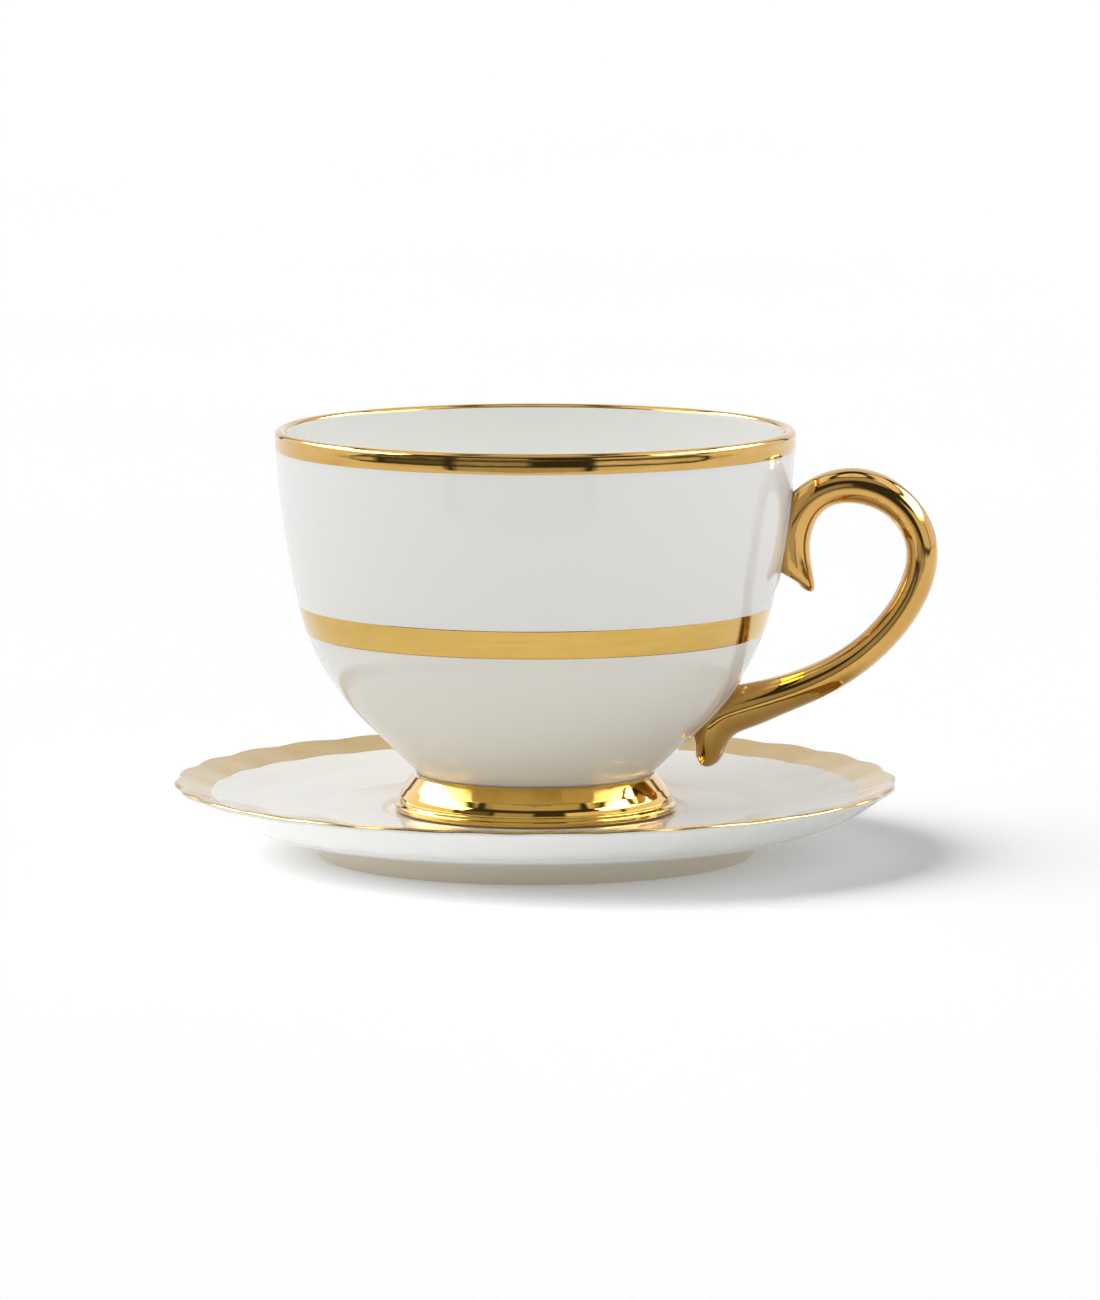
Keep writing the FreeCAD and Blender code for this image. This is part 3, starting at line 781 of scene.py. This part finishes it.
def make_floor(name, front, behind, in_reflections=True):
    """A stretch of the pale table top. It glows faintly, as a white sweep lit from all round."""
    side = TABLE_SIDE
    corners = [(-side, front, 0), (side, front, 0), (side, behind, 0), (-side, behind, 0)]
    floor = finish_mesh(name, corners, [(0, 1, 2, 3)])
    n = Nodes(name + "_paint")
    paint = n.ramp(n.noise(n.place, 4, 2), (0.3, (0.87, 0.875, 0.885)), (0.7, (0.885, 0.89, 0.9)))
    n.link(paint, n.shader.inputs["Base Color"])
    n.set(Roughness=0.9, Emission_Strength=FLOOR_GLOW)
    n.shader.inputs["Specular IOR Level"].default_value = 0.1
    n.shader.inputs["Emission Color"].default_value = (1, 1, 1, 1)
    floor.data.materials.append(n.material)
    floor.visible_glossy = in_reflections
    return floor


# The studio as polished surfaces mirror it, as panels in the sky: the two azimuths between which
# each one stands, counted from the near side and positive to the right, its two elevations and its
# brightness, all in degrees but the last. Panels that overlap add up. The first three stand for
# the table: its near part, its left and its right.
ROOM_LIGHT = 0.05
PANELS = [
    (-35, 27, -91, -3, 0.52),
    (-180, -35, -91, -3, 0.85),
    (27, 180, -91, -3, 0.85),
    (-35, 3, -3, 28, 0.42),
    (-69, -35, -3, 28, 0.12),
    (-150, -69, -3, 34, 1.1),
    (-140, -62, 22, 46, 10.0),
    (-150, -60, 46, 72, 1.2),
    (27, 84, -3, 28, 0.9),
    (84, 150, -3, 34, 1.0),
    (62, 140, 22, 46, 10.0),
    (60, 150, 46, 72, 1.2),
    (-180, -150, -3, 60, 0.9),
    (150, 180, -3, 60, 0.9),
    (-57, 57, 48, 75, 0.5),
    (-180, 180, 75, 91, 1.2),
]
PANEL_EDGE = 5.0
BACKDROP = 1.05

# The soft light that falls on matt surfaces: a dim dome that brightens overhead and at both sides.
DOME = 0.06
DOME_ABOVE = 0.18
DOME_LEFT = 0.9
DOME_RIGHT = 0.7


def make_world():
    """White to the camera, the soft dome to matt surfaces and the panels to polished ones."""
    world = bpy.data.worlds.new("studio")
    world.use_nodes = True
    scene.world = world
    world.cycles.sampling_method = "NONE"
    tree = world.node_tree

    def math_node(operation, a, b=0.0):
        node = tree.nodes.new("ShaderNodeMath")
        node.operation = operation
        for socket, value in zip(node.inputs, (a, b)):
            if isinstance(value, (int, float)):
                socket.default_value = value
            else:
                tree.links.new(value, socket)
        return node.outputs[0]

    def step(source, low, high):
        """A smooth rise from 0 to 1 between two values, or a fall where high is the lower."""
        node = tree.nodes.new("ShaderNodeMapRange")
        node.interpolation_type = "SMOOTHSTEP"
        node.inputs["From Min"].default_value = low
        node.inputs["From Max"].default_value = high
        tree.links.new(source, node.inputs["Value"])
        return node.outputs["Result"]

    coords = tree.nodes.new("ShaderNodeTexCoord")
    split = tree.nodes.new("ShaderNodeSeparateXYZ")
    tree.links.new(coords.outputs["Generated"], split.inputs[0])
    x, y, z = split.outputs
    azimuth = math_node("DEGREES", math_node("ARCTAN2", x, math_node("MULTIPLY", y, -1.0)))
    elevation = math_node("DEGREES", math_node("ARCSINE", z))
    light, soft_edge = ROOM_LIGHT, PANEL_EDGE
    for left, right, low, high, strength in PANELS:
        above, below = step(elevation, low, low + soft_edge), step(elevation, high, high - soft_edge)
        mask = math_node("MULTIPLY", above, below)
        if left > -180:
            mask = math_node("MULTIPLY", mask, step(azimuth, left, left + soft_edge))
        if right < 180:
            mask = math_node("MULTIPLY", mask, step(azimuth, right, right - soft_edge))
        light = math_node("ADD", light, math_node("MULTIPLY", mask, strength))
    room = tree.nodes["Background"]
    room.inputs["Color"].default_value = (1, 0.99, 0.97, 1)
    tree.links.new(light, room.inputs["Strength"])

    def lobe_towards(component, strength):
        """Light that grows with the square of how far a direction leans one way."""
        lean = math_node("MAXIMUM", component, 0.0)
        return math_node("MULTIPLY", math_node("MULTIPLY", lean, lean), strength)

    leftward = math_node("MULTIPLY", x, -1.0)
    sides = math_node("ADD", lobe_towards(leftward, DOME_LEFT), lobe_towards(x, DOME_RIGHT))
    overhead = math_node("MULTIPLY", math_node("MAXIMUM", z, 0.0), DOME_ABOVE)
    soft = math_node("ADD", math_node("ADD", sides, overhead), DOME)
    dome = tree.nodes.new("ShaderNodeBackground")
    dome.inputs["Color"].default_value = (1, 1, 0.985, 1)
    tree.links.new(soft, dome.inputs["Strength"])
    backdrop = tree.nodes.new("ShaderNodeBackground")
    backdrop.inputs["Color"].default_value = (1, 1, 1, 1)
    backdrop.inputs["Strength"].default_value = BACKDROP
    path = tree.nodes.new("ShaderNodeLightPath")
    shown = room.outputs[0]
    for kind, other in (("Is Diffuse Ray", dome), ("Is Camera Ray", backdrop)):
        mix = tree.nodes.new("ShaderNodeMixShader")
        tree.links.new(path.outputs[kind], mix.inputs["Fac"])
        tree.links.new(shown, mix.inputs[1])
        tree.links.new(other.outputs[0], mix.inputs[2])
        shown = mix.outputs[0]
    tree.links.new(shown, tree.nodes["World Output"].inputs["Surface"])


def make_lamp(name, energy, angle, direction, lit, shaded_by=None):
    """A large soft lamp far away that lights only some things and is shaded by some or by all."""
    lamp = bpy.data.lights.new(name, "SUN")
    lamp.energy = energy
    lamp.angle = math.radians(angle)
    light = bpy.data.objects.new(name, lamp)
    light.rotation_euler = Vector(direction).to_track_quat("-Z", "Y").to_euler()
    light.visible_glossy = False
    scene.collection.objects.link(light)
    for kind, things in (("receiver", lit), ("blocker", shaded_by)):
        if things:
            group = bpy.data.collections.new(f"{name}_{kind}s")
            for thing in things:
                group.objects.link(thing)
            setattr(light.light_linking, f"{kind}_collection", group)


# The ways the lamps' light travels.
FROM_LEFT = (0.8, 0.12, -0.58)
FROM_UPPER_LEFT = (0.6, 0.1, -0.8)
FROM_ABOVE = (0.0, 0.0, -1.0)
FROM_BELOW = (0.0, 0.14, 0.99)

make_world()
floors = [make_floor("floor", TABLE_SPLIT, TABLE_BACK)]
floors.append(make_floor("floor_front", TABLE_FRONT, TABLE_SPLIT, in_reflections=False))
dish = [saucer, saucer_gold]
make_lamp("table_key", 3.0, 50, FROM_LEFT, floors, dish)
make_lamp("saucer_key", 1.05, 40, FROM_UPPER_LEFT, dish)
make_lamp("saucer_overhead", 1.0, 60, FROM_ABOVE, dish)
make_lamp("cup_overhead", 3.3, 80, FROM_ABOVE, [bowl])
make_lamp("cup_bounce", 0.55, 60, FROM_BELOW, [bowl, foot], [bowl, foot])

scene.view_settings.view_transform = "Standard"
scene.view_settings.look = "None"
scene.cycles.use_denoising = True
